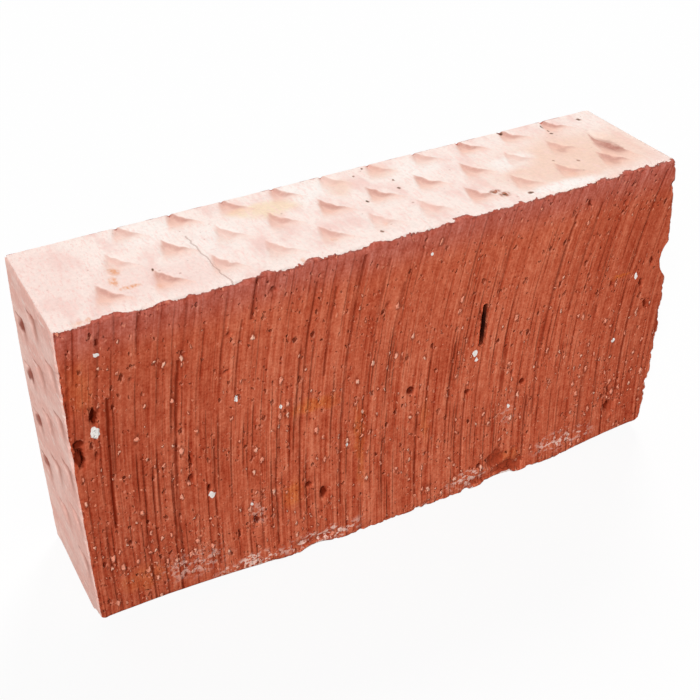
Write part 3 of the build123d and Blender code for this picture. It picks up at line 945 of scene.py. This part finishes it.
def dieSkin(tree, places):
    # the pale skin of the top, the underside and the ends: its colour, and its fine relief in mm
    onEnd = places["onEnd"]
    offEnd = opposite(tree, onEnd)
    onTop = product(tree, places["onTop"], offEnd)
    mottle = pattern(tree, places, *skinLook["mottle"])
    streak = pattern(tree, places, *skinLook["streak"])
    scratch = pattern(tree, places, *skinLook["scratch"])
    fleck = places["fleck"]
    top = mixColour(tree, step(tree, mottle, *skinLook["topMottled"]), clay["topSkin"], clay["topPink"])
    topAt = vector(tree, places["topX"], places["y"], 0.0)
    softAt = warp(tree, topAt, *skinLook["tintWander"])
    for name, rows in tints:
        top = mixColour(tree, product(tree, spots(tree, softAt, rows), onTop), top, clay[name])
    top = mixColour(tree, step(tree, streak, *skinLook["topStreaked"]), top, clay["topPink"])
    toLeft = step(tree, places["x"], *skinLook["toLeft"])
    scratched = product(tree, step(tree, scratch, *skinLook["topScratched"]), toLeft)
    top = mixColour(tree, scratched, top, clay["topFleck"])
    ends = mixColour(tree, step(tree, mottle, *skinLook["endMottled"]), clay["endSkin"], clay["endPale"])
    ends = mixColour(tree, step(tree, streak, *skinLook["endStreaked"]), ends, clay["endChip"])
    skin = mixColour(tree, onEnd, top, ends)

    # dents: the wall is painted dark, partly as the body under the torn skin and partly as painted shade,
    # and the ramp's painted shade runs out into the skin
    wall, ramp = dentShade(tree, places)
    shadeGaps = step(tree, fleck, *skinLook["shadeGaps"])
    rampShadeColour = mixColour(tree, onEnd, clay["topRampShade"], clay["endRampShade"])
    skin = mixColour(tree, product(tree, ramp, skinLook["rampShare"]), skin, rampShadeColour)
    wallShadeColour = mixColour(tree, onEnd, clay["topWallShade"], clay["endWallShade"])
    skin = mixColour(tree, product(tree, wall, shadeGaps, skinLook["wallShare"]), skin, wallShadeColour)
    tearAt = warp(tree, vector(tree, places["y"], places["down"], 0.0), *skinLook["tearWander"])
    tear = product(tree, spots(tree, tearAt, endTears), onEnd, places["onLeft"])
    skin = mixColour(tree, product(tree, tear, skinLook["tearShare"]), skin, clay["endTear"])

    # scuffs with painted shade, spots and a hair crack on the top
    markAt = warp(tree, topAt, *skinLook["markWander"])
    rusted = step(tree, scratch, *skinLook["rusted"])
    marks = ((scuffsAndShade, shadeGaps, "endWallShade"), (rustFlecks, rusted, "rustPale"), (rustSpots, rusted, "rust"))
    for rows, broken, name in marks:
        skin = mixColour(tree, product(tree, spots(tree, markAt, rows), broken, onTop), skin, clay[name])
    mote = grains(tree, topAt, grainKinds["mote"])
    moteShare = calc(tree, "MULTIPLY_ADD", mote["hue"], *skinLook["moteShare"])
    skin = mixColour(tree, product(tree, mote["grain"], moteShare, offEnd), skin, clay["crack"])
    black = product(tree, spots(tree, markAt, blackSpots), onTop)
    skin = mixColour(tree, step(tree, black, *skinLook["blackRim"]), skin, clay["blackRim"])
    skin = mixColour(tree, step(tree, black, *skinLook["blackCore"]), skin, clay["black"])
    crack = product(tree, crackMark(tree, places), onTop, hairCrack["share"])
    skin = mixColour(tree, crack, skin, clay["crack"])
    fleckShade = swing(tree, fleck, choose(tree, onEnd, skinLook["topShade"], skinLook["endShade"]))
    skin = shaded(tree, skin, total(tree, 1.0, fleckShade, swing(tree, streak, skinLook["streakShade"])))
    heights = {"fleck": fleck, "streak": streak, "scratch": scratch, "crack": crack}
    height = total(tree, *[product(tree, heights[name], amount) for name, amount in skinBumps.items()])
    return skin, height


skinEdge = {  # where the skin ends towards the cut beds, in mm
    "ragNoise": (0.15, 3.0, 0.55),
    "ragged": (0.38, 0.72),
    "ragDepth": (2.2, 0.6),   # what the front bed has more, and what both beds have
    "endRag": 0.2,
    "backTeeth": 0.6, "frontTeeth": 2.4, "endTeeth": 0.5,
    "slant": (0.7, 0.5),      # how steeply it cuts through the arris, again front and both
    "endSlant": 2.5,
    "blend": 0.12,
    "edgeShadowReach": (-1.5, -0.2),
    "edgeShadowGaps": (0.4, 0.6),
    "edgeShadowFade": (5.0, 90.0, 0.3, 1.0),  # fainter towards the left end
    "edgeShadowShare": 0.8,
}


def skinOverlap(tree, places):
    # how far a point lies on the skin's side of its ragged edge
    front, onEnd = places["front"], places["onEnd"]
    ragged = step(tree, noise(tree, places["point"], *skinEdge["ragNoise"]), *skinEdge["ragged"])
    ragged = product(tree, ragged, calc(tree, "MULTIPLY_ADD", front, *skinEdge["ragDepth"]))
    ragged = product(tree, ragged, choose(tree, onEnd, 1.0, skinEdge["endRag"]))
    teeth = choose(tree, front, skinEdge["backTeeth"], skinEdge["frontTeeth"])
    teeth = product(tree, teeth, choose(tree, onEnd, 1.0, skinEdge["endTeeth"]))
    ragged = total(tree, ragged, swing(tree, places["fleck"], teeth))
    slant = choose(tree, onEnd, calc(tree, "MULTIPLY_ADD", front, *skinEdge["slant"]), skinEdge["endSlant"])
    overlap = calc(tree, "SUBTRACT", places["bedDepth"], product(tree, places["skinDepth"], slant))
    return calc(tree, "SUBTRACT", calc(tree, "ADD", overlap, onEnd), ragged)


def clayMaterial():
    material = bpy.data.materials.new("firedClay")
    material.use_nodes = True
    tree = material.node_tree
    shader = tree.nodes["Principled BSDF"]
    shader.inputs["Roughness"].default_value = clay["roughness"]
    shader.inputs["Specular IOR Level"].default_value = clay["specular"]
    position = tree.nodes.new("ShaderNodeTexCoord").outputs["Object"]
    places = findPlaces(tree, position)
    places["fleck"] = noise(tree, places["point"], *skinLook["fleck"])
    body, bodyHeight = cutBody(tree, places)
    skin, skinHeight = dieSkin(tree, places)

    # the skin ends in a ragged edge towards the cut beds, with a thin painted shadow line along the top
    overlap = skinOverlap(tree, places)
    onSkin = step(tree, overlap, -skinEdge["blend"], skinEdge["blend"])
    gaps = step(tree, places["fleck"], *skinEdge["edgeShadowGaps"])
    edgeShadow = product(tree, step(tree, overlap, *skinEdge["edgeShadowReach"]), gaps, opposite(tree, places["onEnd"]))
    edgeShadow = product(tree, edgeShadow, step(tree, places["x"], *skinEdge["edgeShadowFade"]))
    body = mixColour(tree, product(tree, edgeShadow, skinEdge["edgeShadowShare"]), body, clay["edgeShadow"])
    tree.links.new(mixColour(tree, onSkin, body, skin), shader.inputs["Base Color"])

    bump = tree.nodes.new("ShaderNodeBump")
    bump.inputs["Distance"].default_value = mm
    tree.links.new(choose(tree, onSkin, bodyHeight, skinHeight), bump.inputs["Height"])
    tree.links.new(bump.outputs[0], shader.inputs["Normal"])
    return material


brick = makeBrick()
brick.data.materials.append(clayMaterial())
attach(brick, "root")
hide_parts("brick")
print("brick painted")


# floor, light and camera

stage = {
    "floorHalf": 3.0,
    "floorColour": (0.5, 0.5, 0.5, 1),
    "floorGlow": 0.82,     # how much of the floor's white the camera sees unshaded
    "floorWhite": 1.1,
    "sky": 0.28,
    "front": {"strength": 2.12, "azimuth": -40, "elevation": 36, "angle": 12},
    "back": {"strength": 1.5, "azimuth": 140, "elevation": 45, "angle": 20},
}


def makeFloor():
    selectOnly(brick)
    bpy.ops.mesh.primitive_plane_add(size=2 * stage["floorHalf"], location=(0, 0, cadLow.z))
    floor = bpy.context.active_object
    floor.name = "floor"
    material = bpy.data.materials.new("paleFloor")
    material.use_nodes = True
    tree = material.node_tree
    shader = tree.nodes["Principled BSDF"]
    shader.inputs["Base Color"].default_value = stage["floorColour"]
    shader.inputs["Roughness"].default_value = 1.0
    shader.inputs["Specular IOR Level"].default_value = 0.0
    glow = tree.nodes.new("ShaderNodeEmission")
    glow.inputs["Strength"].default_value = stage["floorWhite"]
    mix = tree.nodes.new("ShaderNodeMixShader")
    ray = tree.nodes.new("ShaderNodeLightPath")
    tree.links.new(calc(tree, "MULTIPLY", ray.outputs["Is Camera Ray"], stage["floorGlow"]), mix.inputs[0])
    tree.links.new(shader.outputs[0], mix.inputs[1])
    tree.links.new(glow.outputs[0], mix.inputs[2])
    tree.links.new(mix.outputs[0], tree.nodes["Material Output"].inputs[0])
    floor.data.materials.append(material)


def addSun(name, sun):
    bpy.ops.object.light_add(type="SUN")
    lamp = bpy.context.active_object
    lamp.name = name
    lamp.data.energy = sun["strength"]
    lamp.data.angle = math.radians(sun["angle"])
    lamp.rotation_euler = (math.radians(90 - sun["elevation"]), 0, math.radians(sun["azimuth"]))


def makeSky():
    world = bpy.data.worlds.new("softSky")
    world.use_nodes = True
    tree = world.node_tree
    sky = tree.nodes["Background"]
    sky.inputs["Color"].default_value = (1, 1, 1, 1)
    sky.inputs["Strength"].default_value = stage["sky"]
    white = tree.nodes.new("ShaderNodeBackground")
    white.inputs["Color"].default_value = (1, 1, 1, 1)
    mix = tree.nodes.new("ShaderNodeMixShader")
    ray = tree.nodes.new("ShaderNodeLightPath")
    tree.links.new(ray.outputs["Is Camera Ray"], mix.inputs[0])
    tree.links.new(sky.outputs[0], mix.inputs[1])
    tree.links.new(white.outputs[0], mix.inputs[2])
    tree.links.new(mix.outputs[0], tree.nodes["World Output"].inputs[0])
    bpy.context.scene.world = world


view = {  # the photograph's camera, in mm, degrees and pixels of its 700 px frame
    "place": (-180.31, -346.26, 325.31),
    "azimuth": -27.707,
    "elevation": 31.483,
    "roll": -1.171,
    "focalPx": 1249.8,
    "centrePx": (367.62, 293.72),
    "framePx": 700,
    "sensor": 36.0,
    "nearest": 0.01,  # m
}


def makeCamera():
    bpy.ops.object.camera_add()
    camera = bpy.context.active_object
    camera.name = "photoCamera"
    turn = Matrix.Rotation(math.radians(view["azimuth"]), 4, "Z")
    turn = turn @ Matrix.Rotation(math.radians(90 - view["elevation"]), 4, "X")
    turn = turn @ Matrix.Rotation(math.radians(view["roll"]), 4, "Z")
    camera.matrix_world = Matrix.Translation([v * mm for v in view["place"]]) @ turn
    frameSide = view["framePx"]
    camera.data.sensor_width = view["sensor"]
    camera.data.lens = view["focalPx"] / frameSide * view["sensor"]
    camera.data.shift_x = (frameSide / 2 - view["centrePx"][0]) / frameSide
    camera.data.shift_y = (view["centrePx"][1] - frameSide / 2) / frameSide
    camera.data.clip_start = view["nearest"]
    bpy.context.scene.camera = camera


makeFloor()
addSun("frontSun", stage["front"])
addSun("backSun", stage["back"])
makeSky()
makeCamera()
bpy.context.scene.view_settings.view_transform = "Standard"
print("stage set")
